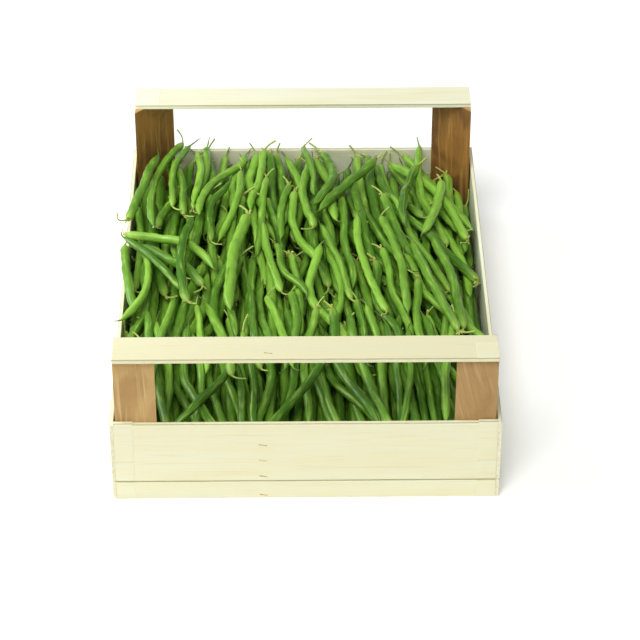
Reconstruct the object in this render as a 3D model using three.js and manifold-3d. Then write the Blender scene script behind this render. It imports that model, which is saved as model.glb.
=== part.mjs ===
// A shallow wooden produce crate heaped with loose green beans.
// Millimetres, +Z up. The origin is the centre of the crate's underside, and +Y runs to the back.
import * as THREE from "three";
import { mergeVertices } from "three/addons/utils/BufferGeometryUtils.js";
import Module from "manifold-3d";

// Crate, outside
const WIDTH = 300;
const LENGTH = 400;
const HEIGHT = 134;

// Walls: a wide board over a narrow one, with an open seam between them
const WALL_TOP = 72;
const FOOT_TOP = 16.5;
const SEAM = 1;
const END_THICKNESS = 4;
const SIDE_THICKNESS = 3;

// Corner posts, right-angled triangles in section, and the planks that lie on them
const POST_LEG = 32;
const POST_INSET = 1.5;
const PLANK_LENGTH = 291;
const PLANK_DEPTH = 29;
const PLANK_THICKNESS = 4;

// Bottom: slats along the crate on battens across it
const BATTEN_HEIGHT = 8;
const BATTEN_WIDTH = 25;
const BATTEN_PLACES = [-150, 0, 150];
const SLAT_COUNT = 5;
const SLAT_THICKNESS = 4;
const SLAT_GAP = 8;
const SLAT_CLEARANCE = 0.5;

// Beans: pod sizes, and how they lie. A lean is in radians, at the left wall and at the right one
const BEAN_COUNT = 148;
const POD_LENGTH = [116, 146];
const POD_RADIUS = [3.9, 4.7];
const FRONT_LEAN = [0.34, 0];
const BACK_LEAN = [-0.12, 0.32];
const FRONT_ROW_END = [-150, -60];
const LEAN_SWING = 0.3;
const BEND_SWING = 0.75;
const SWAY_SWING = 0.36;
const ACCENT_SWAY = 0.14;
const ROW_CENTRES = [131, 50, -34, -128];
const ROW_SWING = 18;
const ROW_LENGTH = 284;
const GOLDEN_STEP = 0.61803399;
const POD_SIDES = 5;
const STATIONS = 25;
const SEED = 24760;

// Pod outline: share of its length, share of its full radius
const POD_PROFILE = [
  [0, 0],
  [0.06, 0.86],
  [0.5, 1],
  [0.92, 0.78],
  [1, 0],
];

// Where a pod has rings of corners: the pods that the eye falls on follow their bend more closely
const POD_RINGS = [0, 0.06, 0.5, 0.92, 1];
const ACCENT_RINGS = [0, 0.06, 0.28, 0.5, 0.72, 0.92, 1];

// Heap: the bed under the top beans, and how a bean comes to rest on what is below it
const BED_EDGE = 51;
const BED_CROWN = 4;
const BED_TILT = -1.5;
const BED_RISE = 20;
const BED_DROP = 16;
const DROP_START = -115;
const BED_CELLS = [6, 8];
const WALL_CLEARANCE = 1.2;
const OVERHANG = 4;
const RIM_CLEARANCE = 2.5;
const RIM_REACH = 1;
const CELL = 1.5;
const COVER_STEPS = 4;
const STEEPEST = 0.3;
const SAG = 0.3;
const SINK = 0.8;
const BITE = 1;
const SIDE_TRIES = [0, -3, 3, -6, 6, -9, 9];
const TURN_TRIES = [0, -0.08, 0.08];
const FLANK = 0.7;
const SMOOTHINGS = 8;
const PUSH_ROUNDS = 3;
const BALANCE_ROUNDS = 30;

// Inside faces of the walls
const INNER_X = WIDTH / 2 - SIDE_THICKNESS;
const INNER_Y = LENGTH / 2 - END_THICKNESS;
const POST_SIDE = INNER_X - POST_INSET;
const SLAT_TOP = BATTEN_HEIGHT + SLAT_THICKNESS;
const POST_TOP = HEIGHT - PLANK_THICKNESS;

// Pods that lie across the rest where the eye falls on them: both ends in plan, and how far the middle bows
const ACCENT_BEANS = [
  { from: [-110, -190], to: [-58, -108], bow: 8 },
  { from: [-40, -190], to: [18, -110], bow: 5 },
  { from: [-56, -144], to: [-80, -36], bow: 2 },
  { from: [-130, 54], to: [-106, 197], bow: -11 },
  { from: [-148, 58], to: [-126, 176], bow: 0 },
  { from: [-88, 64], to: [-48, 166], bow: -13 },
  { from: [12, 78], to: [18, 190], bow: 10 },
  { from: [12, 74], to: [66, 158], bow: 0 },
  { from: [88, 44], to: [104, 150], bow: -10 },
  { from: [96, 46], to: [116, 134], bow: 6 },
  { from: [68, -74], to: [46, 80], bow: -7 },
  { from: [84, -72], to: [64, 76], bow: 5 },
  { from: [126, -98], to: [92, 42], bow: -5 },
  { from: [132, -90], to: [112, 50], bow: 0 },
  { from: [-140, -56], to: [-152, 34], bow: 0 },
  { from: [-148, -76], to: [-138, 40], bow: 14 },
  { from: [-80, -28], to: [-138, 40], bow: 4 },
  { from: [-70, -6], to: [-152, 54], bow: 16 },
  { from: [-96, -22], to: [-152, 40], bow: 0 },
  { from: [-92, -60], to: [-90, 68], bow: -11 },
  { from: [-58, -66], to: [-42, 72], bow: -9, radius: 5.7 },
];

const wasm = await Module();
wasm.setup();

const crate = new THREE.Group();
const wood = { roughness: 0.75, metalness: 0 };
const paleWood = new THREE.MeshStandardMaterial({ color: 0xe9dfbd, ...wood });
const postWood = new THREE.MeshStandardMaterial({ color: 0xa98452, ...wood });
const slatWood = new THREE.MeshStandardMaterial({ color: 0xd8c9a0, ...wood });
const podGreen = new THREE.MeshStandardMaterial({ color: 0x5f9a2f, roughness: 0.45, metalness: 0 });

function place(name, geometry, material, x = 0, y = 0, z = 0) {
  const mesh = new THREE.Mesh(geometry, material);
  mesh.name = name;
  mesh.position.set(x, y, z);
  crate.add(mesh);
}

// A flat outline raised straight up
function raised(corners, height) {
  const outline = new THREE.Shape(corners.map(([x, y]) => new THREE.Vector2(x, y)));
  return new THREE.ExtrudeGeometry(outline, { depth: height, bevelEnabled: false });
}

// Closed three.js geometry as a solid that can be joined and cut
function solidOf(geometry) {
  const bare = geometry.clone();
  bare.deleteAttribute("normal");
  bare.deleteAttribute("uv");
  const merged = mergeVertices(bare);
  const index = merged.index.array;
  const triVerts = [];
  for (let i = 0; i < index.length; i += 3) {
    const [a, b, c] = index.slice(i, i + 3);
    if (a !== b && b !== c && c !== a) triVerts.push(a, b, c);
  }
  return new wasm.Manifold(
    new wasm.Mesh({
      numProp: 3,
      vertProperties: merged.attributes.position.array,
      triVerts: new Uint32Array(triVerts),
    }),
  );
}

function geometryOf(solid) {
  const mesh = solid.getMesh();
  const geometry = new THREE.BufferGeometry();
  geometry.setAttribute("position", new THREE.BufferAttribute(mesh.vertProperties, 3));
  geometry.setIndex(new THREE.BufferAttribute(mesh.triVerts, 1));
  geometry.computeVertexNormals();
  return geometry;
}

// Walls
function wallBoard(name, size, x, y, bottom, top) {
  const [across, along] = size;
  const geometry = new THREE.BoxGeometry(across, along, top - bottom);
  place(name, geometry, paleWood, x, y, (bottom + top) / 2);
}

const END_SIZE = [2 * INNER_X, END_THICKNESS];
const SIDE_SIZE = [SIDE_THICKNESS, LENGTH];
const END_MIDDLE = (LENGTH - END_THICKNESS) / 2;
const SIDE_MIDDLE = (WIDTH - SIDE_THICKNESS) / 2;
const WALLS = [
  ["front", END_SIZE, 0, -END_MIDDLE],
  ["back", END_SIZE, 0, END_MIDDLE],
  ["left", SIDE_SIZE, -SIDE_MIDDLE, 0],
  ["right", SIDE_SIZE, SIDE_MIDDLE, 0],
];
for (const [side, size, x, y] of WALLS) {
  wallBoard(`${side}_foot_board`, size, x, y, 0, FOOT_TOP);
  wallBoard(`${side}_wide_board`, size, x, y, FOOT_TOP + SEAM, WALL_TOP);
}

// Corner posts, each with its right angle against an end wall and a little inside the side wall
function postOutline(signX, signY, side, leg) {
  const corner = [signX * side, signY * INNER_Y];
  const alongWidth = [signX * (side - leg), signY * INNER_Y];
  const alongLength = [signX * side, signY * (INNER_Y - leg)];
  return [corner, alongWidth, alongLength];
}

const CORNERS = [
  ["front_left", -1, -1],
  ["front_right", 1, -1],
  ["back_left", -1, 1],
  ["back_right", 1, 1],
];
for (const [corner, signX, signY] of CORNERS) {
  const outline = postOutline(signX, signY, POST_SIDE, POST_LEG);
  place(`${corner}_post`, raised(outline, POST_TOP), postWood);
}

// Carrying planks on the posts
for (const [side, signY] of [["front", -1], ["back", 1]]) {
  const geometry = new THREE.BoxGeometry(PLANK_LENGTH, PLANK_DEPTH, PLANK_THICKNESS);
  const y = signY * (LENGTH - PLANK_DEPTH) / 2;
  place(`${side}_plank`, geometry, paleWood, 0, y, HEIGHT - PLANK_THICKNESS / 2);
}

// Bottom battens
BATTEN_PLACES.forEach((y, i) => {
  const geometry = new THREE.BoxGeometry(2 * INNER_X, BATTEN_WIDTH, BATTEN_HEIGHT);
  place(`batten_${i + 1}`, geometry, slatWood, 0, y, BATTEN_HEIGHT / 2);
});

// Bottom slats: the outer two have their corners cut off to pass the posts
const SLAT_END = INNER_Y - SLAT_CLEARANCE;
const SLAT_SIDE = INNER_X - SLAT_CLEARANCE;
const SLAT_WIDTH = (2 * SLAT_SIDE - (SLAT_COUNT - 1) * SLAT_GAP) / SLAT_COUNT;
const POST_LINE = POST_SIDE + INNER_Y - POST_LEG;
const SLAT_CUT = POST_LINE - SLAT_CLEARANCE * Math.SQRT2;

function slatOutline(near, far) {
  const outline = [];
  for (const [x, signY] of [[near, -1], [far, -1], [far, 1], [near, 1]]) {
    const overshoot = Math.abs(x) + SLAT_END - SLAT_CUT;
    const onEnd = [x - Math.sign(x) * overshoot, signY * SLAT_END];
    const onSide = [x, signY * (SLAT_END - overshoot)];
    const cutCorner = (x === near) === (signY < 0) ? [onSide, onEnd] : [onEnd, onSide];
    outline.push(...(overshoot > 0 ? cutCorner : [[x, signY * SLAT_END]]));
  }
  return outline;
}

for (let i = 0; i < SLAT_COUNT; i++) {
  const near = -SLAT_SIDE + i * (SLAT_WIDTH + SLAT_GAP);
  const slat = raised(slatOutline(near, near + SLAT_WIDTH), SLAT_THICKNESS);
  place(`slat_${i + 1}`, slat, slatWood, 0, 0, BATTEN_HEIGHT);
}

// Repeatable random numbers from 0 to 1
const MULTIPLIER = 1664525;
const INCREMENT = 1013904223;
const MODULUS = 2 ** 32;
let state = SEED;

function random() {
  state = (state * MULTIPLIER + INCREMENT) % MODULUS;
  return state / MODULUS;
}

const between = ([low, high]) => low + (high - low) * random();
const swing = (size) => size * (random() + random() - 1);

// The lie of the heap: the angle by which pods lean to the left as they run back
function leanAt(x, y) {
  const across = (x / INNER_X + 1) / 2;
  const front = THREE.MathUtils.lerp(...FRONT_LEAN, across);
  const back = THREE.MathUtils.lerp(...BACK_LEAN, across);
  return THREE.MathUtils.lerp(front, back, THREE.MathUtils.smoothstep(y, ...FRONT_ROW_END));
}

// Top of the beans that lie under the ones modelled here
function bedHeight(x, y) {
  const across = x / INNER_X;
  const along = y / INNER_Y;
  const crown = BED_CROWN * (1 - across ** 2) * (1 - along ** 2);
  const backLeft = BED_RISE * Math.max(0, along) * (1 - across) / 2;
  const front = BED_DROP * Math.max(0, (DROP_START - y) / (DROP_START + INNER_Y));
  return BED_EDGE + crown + backLeft - front - BED_TILT * across;
}

// Beans lie in rows across the crate, spread evenly along each row by a golden-ratio step
function scatteredBean(i) {
  const row = i % ROW_CENTRES.length;
  const x = (((0.5 + i * GOLDEN_STEP) % 1) - 0.5) * ROW_LENGTH;
  const y = ROW_CENTRES[row] + swing(ROW_SWING);
  return {
    x,
    y,
    lean: leanAt(x, y) + swing(LEAN_SWING),
    length: between(POD_LENGTH),
    radius: between(POD_RADIUS),
    bend: swing(BEND_SWING),
    sway: swing(SWAY_SWING),
    flip: random() < 0.5,
    overRim: false,
  };
}

// A pod as a shallow arc: its middle, length and bend follow from its two ends and its bow
function accentBean({ from, to, bow, radius = between(POD_RADIUS) }) {
  const run = [to[0] - from[0], to[1] - from[1]];
  const chord = Math.hypot(...run);
  return {
    x: (from[0] + to[0]) / 2 + bow * run[1] / chord,
    y: (from[1] + to[1]) / 2 - bow * run[0] / chord,
    lean: Math.atan2(-run[0], run[1]),
    length: chord + 8 * bow ** 2 / (3 * chord),
    radius,
    bend: 8 * bow / chord,
    sway: swing(ACCENT_SWAY),
    flip: random() < 0.5,
    overRim: true,
  };
}

function radiusShare(share) {
  const after = POD_PROFILE.findIndex(([place]) => place >= share);
  if (after < 1) return 0;
  const [place0, radius0] = POD_PROFILE[after - 1];
  const [place1, radius1] = POD_PROFILE[after];
  return radius0 + (radius1 - radius0) * (share - place0) / (place1 - place0);
}

// A pod's centre line in plan, moved inside the walls and clear of the posts
function planOf(bean) {
  const step = bean.length / (STATIONS - 1);
  const plan = [];
  let x = 0;
  let y = 0;
  for (let i = 0; i < STATIONS; i++) {
    const share = i / (STATIONS - 1);
    const lean = bean.lean + bean.bend * (share - 0.5) + bean.sway * Math.sin(2 * Math.PI * share);
    const radius = bean.radius * radiusShare(bean.flip ? 1 - share : share);
    plan.push({ x, y, radius, along: bean.length * (share - 0.5) });
    x -= step * Math.sin(lean);
    y += step * Math.cos(lean);
  }
  const middle = plan[(STATIONS - 1) / 2];
  shift(plan, bean.x - middle.x, bean.y - middle.y);
  for (let round = 0; round < PUSH_ROUNDS; round++) keepInside(plan, bean.overRim);
  return plan;
}

function shift(plan, dx, dy) {
  for (const station of plan) {
    station.x += dx;
    station.y += dy;
  }
}

function keepInside(plan, overRim) {
  const sideLimit = overRim ? WIDTH / 2 + OVERHANG : INNER_X;
  const endLimit = overRim ? LENGTH / 2 : INNER_Y;
  for (const station of plan) {
    const keep = station.radius + WALL_CLEARANCE;
    const overX = Math.max(0, Math.abs(station.x) + keep - sideLimit);
    const overY = Math.max(0, Math.abs(station.y) + keep - endLimit);
    shift(plan, -Math.sign(station.x) * overX, -Math.sign(station.y) * overY);
    const overPost = Math.abs(station.x) + Math.abs(station.y) + keep * Math.SQRT2 - POST_LINE;
    const back = Math.max(0, overPost) / 2;
    shift(plan, -Math.sign(station.x) * back, -Math.sign(station.y) * back);
  }
}

// Height of the heap so far, on a square grid
const COLUMNS = Math.ceil(WIDTH / CELL);
const ROWS = Math.ceil(LENGTH / CELL);
const heap = new Float64Array(COLUMNS * ROWS);

function cellAt(x, y) {
  const column = THREE.MathUtils.clamp(Math.floor((x + WIDTH / 2) / CELL), 0, COLUMNS - 1);
  const row = THREE.MathUtils.clamp(Math.floor((y + LENGTH / 2) / CELL), 0, ROWS - 1);
  return row * COLUMNS + column;
}

for (let row = 0; row < ROWS; row++) {
  for (let column = 0; column < COLUMNS; column++) {
    const x = (column + 0.5) * CELL - WIDTH / 2;
    const y = (row + 0.5) * CELL - LENGTH / 2;
    const onRim = Math.abs(x) > INNER_X || Math.abs(y) > INNER_Y;
    heap[row * COLUMNS + column] = onRim ? WALL_TOP + RIM_CLEARANCE : bedHeight(x, y);
  }
}

// Where a pod's centre line may come down to at each station, with the heap under its middle and its flanks
function supportsOf(plan) {
  return plan.map((station, i) => {
    const { x, y, radius } = station;
    const before = plan[Math.max(0, i - 1)];
    const after = plan[Math.min(STATIONS - 1, i + 1)];
    const run = Math.hypot(after.x - before.x, after.y - before.y);
    const flankX = FLANK * radius * (after.y - before.y) / run;
    const flankY = -FLANK * radius * (after.x - before.x) / run;
    const middle = heap[cellAt(x, y)] + radius;
    const flanks = Math.max(heap[cellAt(x + flankX, y + flankY)], heap[cellAt(x - flankX, y - flankY)]);
    return Math.max(middle, flanks + radius * Math.sqrt(1 - FLANK ** 2), lowestOverRim(station));
  });
}

// The lowest straight line that clears the heap and balances on it, sagging towards what is below
function restHeights(plan) {
  const support = supportsOf(plan);
  const lift = (tilt) => Math.max(...plan.map(({ along }, i) => support[i] - tilt * along));
  let low = -STEEPEST;
  let high = STEEPEST;
  for (let round = 0; round < BALANCE_ROUNDS; round++) {
    const third = (high - low) / 3;
    if (lift(low + third) < lift(high - third)) high -= third;
    else low += third;
  }
  const tilt = (low + high) / 2;
  const rest = lift(tilt);
  let heights = plan.map(({ along }, i) => {
    const line = rest + tilt * along;
    return line - SAG * (line - support[i]);
  });
  for (let round = 0; round < SMOOTHINGS; round++) {
    heights = heights.map((z, i) => {
      const before = heights[Math.max(0, i - 1)];
      const after = heights[Math.min(STATIONS - 1, i + 1)];
      return (before + 2 * z + after) / 4;
    });
  }
  const sunk = Math.max(...heights.map((z, i) => support[i] - z));
  return heights.map((z, i) => Math.max(z + sunk - SINK, lowestOverRim(plan[i])));
}

// A pod that reaches over a wall lies on its top edge
function lowestOverRim({ x, y, radius }) {
  const reach = radius + RIM_REACH;
  const overRim = Math.abs(x) + reach > INNER_X || Math.abs(y) + reach > INNER_Y;
  return overRim ? WALL_TOP + radius + RIM_CLEARANCE : 0;
}

// Raises the heap where a pod now lies
function coverHeap(stations, bean) {
  const steps = (STATIONS - 1) * COVER_STEPS;
  for (let i = 0; i < steps; i++) {
    const before = Math.floor(i / COVER_STEPS);
    const part = (i % COVER_STEPS) / COVER_STEPS;
    const { x, y, z } = stations[before].clone().lerp(stations[before + 1], part);
    const share = i / steps;
    const radius = bean.radius * radiusShare(bean.flip ? 1 - share : share);
    for (let dx = -radius; dx <= radius; dx += CELL / 2) {
      for (let dy = -radius; dy <= radius; dy += CELL / 2) {
        const rise = radius ** 2 - dx ** 2 - dy ** 2;
        const cell = cellAt(x + dx, y + dy);
        if (rise > 0) heap[cell] = Math.max(heap[cell], z + Math.sqrt(rise));
      }
    }
  }
}

// A pod turned on a lathe, then bent along its centre line
function podSolid(curve, bean) {
  const corner = bean.radius / Math.sqrt(Math.cos(Math.PI / POD_SIDES));
  const rings = bean.overRim ? ACCENT_RINGS : POD_RINGS;
  const outline = rings.map((share) => new THREE.Vector2(radiusShare(share) * corner, share));
  const geometry = new THREE.LatheGeometry(outline, POD_SIDES);
  const position = geometry.attributes.position;
  const up = new THREE.Vector3(0, 0, 1);
  for (let i = 0; i < position.count; i++) {
    const share = bean.flip ? 1 - position.getY(i) : position.getY(i);
    const ahead = curve.getTangent(share).multiplyScalar(bean.flip ? -1 : 1);
    const side = new THREE.Vector3().crossVectors(ahead, up).normalize();
    const above = new THREE.Vector3().crossVectors(side, ahead);
    const point = curve.getPoint(share);
    point.addScaledVector(side, position.getX(i)).addScaledVector(above, position.getZ(i));
    position.setXYZ(i, point.x, point.y, point.z);
  }
  return solidOf(geometry);
}

// The beans underneath, as one body whose top follows the bed
function bedSolid() {
  const width = 2 * (INNER_X - WALL_CLEARANCE);
  const length = 2 * (INNER_Y - WALL_CLEARANCE);
  const geometry = new THREE.BoxGeometry(width, length, 1, ...BED_CELLS, 1);
  const position = geometry.attributes.position;
  for (let i = 0; i < position.count; i++) {
    const x = position.getX(i);
    const y = position.getY(i);
    position.setZ(i, position.getZ(i) < 0 ? SLAT_TOP : bedHeight(x, y));
  }
  let bed = solidOf(geometry);
  const pocketLeg = POST_LEG + POST_INSET + 2 * WALL_CLEARANCE;
  for (const [, signX, signY] of CORNERS) {
    const pocket = postOutline(signX, signY, INNER_X, pocketLeg);
    bed = bed.subtract(solidOf(raised(pocket, POST_TOP)));
  }
  return bed;
}

// A pod rolls to the lowest of the places near where it falls
function settle(bean) {
  const tries = bean.overRim ? [0] : SIDE_TRIES;
  const turns = bean.overRim ? [0] : TURN_TRIES;
  let best = { height: Infinity };
  for (const aside of tries) {
    for (const turn of turns) {
      const plan = planOf({ ...bean, x: bean.x + aside, lean: bean.lean + turn });
      const heights = restHeights(plan);
      const height = heights.reduce((sum, z) => sum + z, 0);
      if (height < best.height) best = { plan, heights, height };
    }
  }
  return best.plan.map(({ x, y }, i) => new THREE.Vector3(x, y, best.heights[i]));
}

// A pod let down until it bites into the beans below it, and kept off the walls' top edges
function bitingPod(below, stations, bean) {
  const curve = new THREE.CatmullRomCurve3(stations);
  let pod = podSolid(curve, bean);
  while (below.intersect(pod).volume() < BITE) {
    for (const point of curve.points) {
      point.z = Math.max(point.z - SINK, lowestOverRim({ x: point.x, y: point.y, radius: bean.radius }));
    }
    pod = podSolid(curve, bean);
  }
  return pod;
}

// Beans dropped one by one and fused to what they rest on
// Each accent takes the place of the scattered bean nearest to it, and the accents come last
const scattered = Array.from({ length: BEAN_COUNT }, (_, i) => scatteredBean(i));
const accents = ACCENT_BEANS.map(accentBean);
for (const accent of accents) {
  const away = scattered.map(({ x, y }) => Math.hypot(x - accent.x, y - accent.y));
  scattered.splice(away.indexOf(Math.min(...away)), 1);
}
let beanHeap = bedSolid();
for (const bean of [...scattered, ...accents]) {
  const stations = settle(bean);
  coverHeap(stations, bean);
  beanHeap = beanHeap.add(bitingPod(beanHeap, stations, bean));
}
place("bean_heap", geometryOf(beanHeap), podGreen);

export default crate;
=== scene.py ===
# %% [markdown]
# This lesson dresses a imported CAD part: a shallow produce crate of thin poplar boards, heaped with green
# beans. The CAD nodes already give every place and size, so the first step loads them as a fixed frame.
# Each visible piece is then made over its node, in metres and in the same axes, and rides on the part's
# one body.

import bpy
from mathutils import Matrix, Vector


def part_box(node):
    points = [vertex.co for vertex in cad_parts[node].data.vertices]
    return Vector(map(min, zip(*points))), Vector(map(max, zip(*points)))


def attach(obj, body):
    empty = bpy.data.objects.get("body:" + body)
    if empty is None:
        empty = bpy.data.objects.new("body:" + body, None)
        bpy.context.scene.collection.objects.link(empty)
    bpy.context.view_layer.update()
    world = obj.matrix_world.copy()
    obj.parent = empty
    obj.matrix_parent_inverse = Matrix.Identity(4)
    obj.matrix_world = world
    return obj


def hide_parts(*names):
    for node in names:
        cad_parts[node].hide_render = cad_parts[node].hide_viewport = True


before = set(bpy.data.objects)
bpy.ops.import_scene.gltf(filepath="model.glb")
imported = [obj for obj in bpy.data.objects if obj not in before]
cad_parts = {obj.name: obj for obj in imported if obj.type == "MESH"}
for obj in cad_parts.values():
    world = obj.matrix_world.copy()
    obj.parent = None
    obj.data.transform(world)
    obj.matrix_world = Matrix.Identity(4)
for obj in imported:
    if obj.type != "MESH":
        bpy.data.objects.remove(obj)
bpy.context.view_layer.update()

# %% Other modules, and one unit
import math

import bmesh
import bpy
import numpy as np
from mathutils import Euler, Matrix, Vector

MM = 0.001
scene = bpy.context.scene

# %% [markdown]
# The camera comes first, because every later choice is judged through it.
# Its place was worked out from the crate's straight edges: a long lens, almost two metres away, looking
# down at the front of the crate. A long lens keeps the crate's sides close to parallel.

# %% Camera
CAMERA_PLACE_MM = (-5.55, -1735.8, 1266.3)
CAMERA_DOWN_DEG = 35.53
CAMERA_TURN_DEG = -0.61
SENSOR_MM = 36
LENS_MM = 143.55

camera = bpy.data.objects.new("camera", bpy.data.cameras.new("camera"))
camera.data.sensor_width = SENSOR_MM
camera.data.lens = LENS_MM
camera.location = Vector(CAMERA_PLACE_MM) * MM
camera.rotation_euler = Euler((math.radians(90 - CAMERA_DOWN_DEG), 0, math.radians(CAMERA_TURN_DEG)))
scene.collection.objects.link(camera)
scene.camera = camera
print("camera looks down by", CAMERA_DOWN_DEG, "degrees with a", LENS_MM, "mm lens")

# %% [markdown]
# Materials and Geometry Nodes are both trees of nodes. One small function adds a node, sets its
# properties and fills its inputs: with a value, with a link from a socket, or with a link from the first
# output of another node. A value that is the same all over a surface is set on the surface node itself.
# Colours are written as sRGB hex values, the way a colour picker shows them, and turned to linear light
# once.

# %% Node and colour helpers
MATH, VECTOR_MATH = "ShaderNodeMath", "ShaderNodeVectorMath"
MIX_FACTOR, MIX_A, MIX_B = 0, 6, 7


def fill_inputs(tree, node, inputs):
    """Sets each input to a value, or links it to a socket or to another node's first output."""
    for socket, value in inputs.items():
        if isinstance(value, bpy.types.Node):
            value = next(output for output in value.outputs if output.enabled)
        if isinstance(value, bpy.types.NodeSocket):
            tree.links.new(value, node.inputs[socket])
        else:
            node.inputs[socket].default_value = value


def add_node(tree, kind, inputs=None, **settings):
    """Adds a node with its settings, and fills its inputs by their names or numbers."""
    node = tree.nodes.new(kind)
    for name, value in settings.items():
        setattr(node, name, value)
    fill_inputs(tree, node, inputs or {})
    return node


def new_material(name, fixed):
    """A material made of nodes, with the values that are the same all over it."""
    material = bpy.data.materials.new(name)
    material.use_nodes = True
    fill_inputs(material.node_tree, material.node_tree.nodes["Principled BSDF"], fixed)
    return material


def linear(hex_code):
    """An sRGB hex colour as linear red, green, blue and alpha."""
    channels = [int(hex_code[i : i + 2], 16) / 255 for i in (0, 2, 4)]
    return [c / 12.92 if c <= 0.04045 else ((c + 0.055) / 1.055) ** 2.4 for c in channels] + [1]


print("mid grey 808080 is", [round(c, 3) for c in linear("808080")])

# %% [markdown]
# The crate stands on a pale floor in a light tent: white light from everywhere, one broad lamp from high
# in front and a weaker one low on the left. The lamps give each bean a bright side and a dark one, and
# the tent keeps the shadows open. Sun lamps light the floor evenly out to the edge of the picture, and a
# wide angle makes them soft. A small lamp near the left wall brightens the pods that hang over it, and
# the floor's paper glows a little, which keeps the crate's shadow faint.

# %% Floor and light
FLOOR_SIDE = 8.0
FLOOR_COLOUR = "fafaf8"
FLOOR_ROUGH = 0.9
FLOOR_GLOW = 0.1
TENT_COLOUR = "ffffff"
TENT_STRENGTH = 0.29
SUNS = [("high_lamp", (-0.25, -0.66, 1.2), 30, 2.3), ("side_lamp", (-1, 0.1, 0.65), 45, 0.75)]
NEAR_LAMP_PLACE, NEAR_LAMP_AIM = Vector((-0.4, 0, 0.3)), Vector((-0.12, 0, 0.07))
NEAR_LAMP_SIDE, NEAR_LAMP_WATTS = 0.2, 0.8


def add_lamp(name, kind, strength, comes_from):
    """A lamp that shines from a given direction."""
    lamp = bpy.data.objects.new(name, bpy.data.lights.new(name, kind))
    lamp.data.energy = strength
    lamp.rotation_euler = Vector(comes_from).to_track_quat("Z", "Y").to_euler()
    scene.collection.objects.link(lamp)
    return lamp


scene.view_settings.view_transform = "Standard"
scene.world = bpy.data.worlds.new("light_tent")
scene.world.use_nodes = True
tent = scene.world.node_tree
fill_inputs(tent, tent.nodes["Background"], {"Color": linear(TENT_COLOUR), "Strength": TENT_STRENGTH})

for name, comes_from, angle_deg, strength in SUNS:
    add_lamp(name, "SUN", strength, comes_from).data.angle = math.radians(angle_deg)
near_lamp = add_lamp("near_lamp", "AREA", NEAR_LAMP_WATTS, NEAR_LAMP_PLACE - NEAR_LAMP_AIM)
near_lamp.data.size = NEAR_LAMP_SIDE
near_lamp.location = NEAR_LAMP_PLACE
near_lamp.visible_camera = False

half = FLOOR_SIDE / 2
corners = [(-half, -half, 0), (half, -half, 0), (half, half, 0), (-half, half, 0)]
floor_mesh = bpy.data.meshes.new("floor")
floor_mesh.from_pydata(corners, [], [(0, 1, 2, 3)])
paper = {"Base Color": linear(FLOOR_COLOUR), "Roughness": FLOOR_ROUGH}
glow = {"Emission Color": linear(TENT_COLOUR), "Emission Strength": FLOOR_GLOW}
floor_mesh.materials.append(new_material("matt_white_paper", paper | glow))
floor = bpy.data.objects.new("floor", floor_mesh)
scene.collection.objects.link(floor)
print("floor", FLOOR_SIDE, "m wide, and", len(SUNS) + 1, "lamps")

# %% [markdown]
# Every finish here is a base colour with layers over it. A layer shows where some value is high: how pale
# this board is, a noise that stands for streaks, or the distance along a pod. The functions below are
# shared by all the materials. Every wooden piece carries an attribute named grain: millimetres along,
# across and through the wood. A pattern on that attribute follows each board, whichever way the board
# lies.


# %% Layers and patterns
def layered(tree, colour, layers):
    """Paints layers over a colour. Each has a value, soft limits or none, a colour and the most of it."""
    for value, limits, hex_code, most in layers:
        if limits:
            fade = {"Value": value, "From Min": limits[0], "From Max": limits[1]}
            value = add_node(tree, "ShaderNodeMapRange", fade, interpolation_type="SMOOTHSTEP")
        strength = add_node(tree, MATH, {0: value, 1: most}, operation="MULTIPLY")
        inputs = {MIX_FACTOR: strength, MIX_A: colour, MIX_B: linear(hex_code)}
        colour = add_node(tree, "ShaderNodeMix", inputs, data_type="RGBA")
    return colour


def grain_patterns(tree, sizes_mm, detail, distortion):
    """Noises stretched along the grain, each with its own size along, across and through the wood."""
    grain = add_node(tree, "ShaderNodeAttribute", attribute_name="grain").outputs["Vector"]
    patterns = {}
    for name, size_mm in sizes_mm.items():
        stretched = add_node(tree, VECTOR_MATH, {0: grain, 1: size_mm}, operation="DIVIDE")
        inputs = {"Vector": stretched, "Scale": 1, "Detail": detail, "Distortion": distortion}
        patterns[name] = add_node(tree, "ShaderNodeTexNoise", inputs)
    return patterns


def finish_surface(tree, colour, relief, bump, streaks, rough):
    """Gives the surface its colour, a bump that follows a relief and a roughness that follows streaks."""
    height = {"Height": relief, "Strength": bump[0], "Distance": bump[1]}
    rough_range = {"Value": streaks, "To Min": rough[0], "To Max": rough[1]}
    inputs = {"Base Color": colour, "Normal": add_node(tree, "ShaderNodeBump", height)}
    inputs["Roughness"] = add_node(tree, "ShaderNodeMapRange", rough_range)
    fill_inputs(tree, tree.nodes["Principled BSDF"], inputs)


# %% [markdown]
# The boards are poplar, sliced or sawn thin and left raw. Raw poplar is a cream colour with long faint
# streaks, fine lines a millimetre or so apart and a few small brown flecks. It scatters light, so it is
# quite rough. The end of a board shows open pores and is darker, and its long edge shows the plies it was
# pressed from.

# %% Poplar
POPLAR_GREY = "ded9b0"
POPLAR_WHITE = "f4f8e4"
POPLAR_STRAW = "e6deb2"
POPLAR_LINE = "d6cc9c"
POPLAR_FLECK = "b0945c"
POPLAR_END = "d8d2ac"
POPLAR_GLUE = "aeac82"
# Real fibres and pores are finer than a pixel, so lines and pores are drawn as coarse as they need to show.
POPLAR_MM = {
    "streak": (85, 4.5, 4.5),
    "line": (60, 1.1, 1.1),
    "figure": (170, 22, 22),
    "fleck": (7, 1.7, 1.7),
    "pore": (1.2, 1.2, 1.2),
}
POPLAR_BUMP = (0.25, 0.4 * MM)
POPLAR_ROUGH = (0.55, 0.75)

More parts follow.
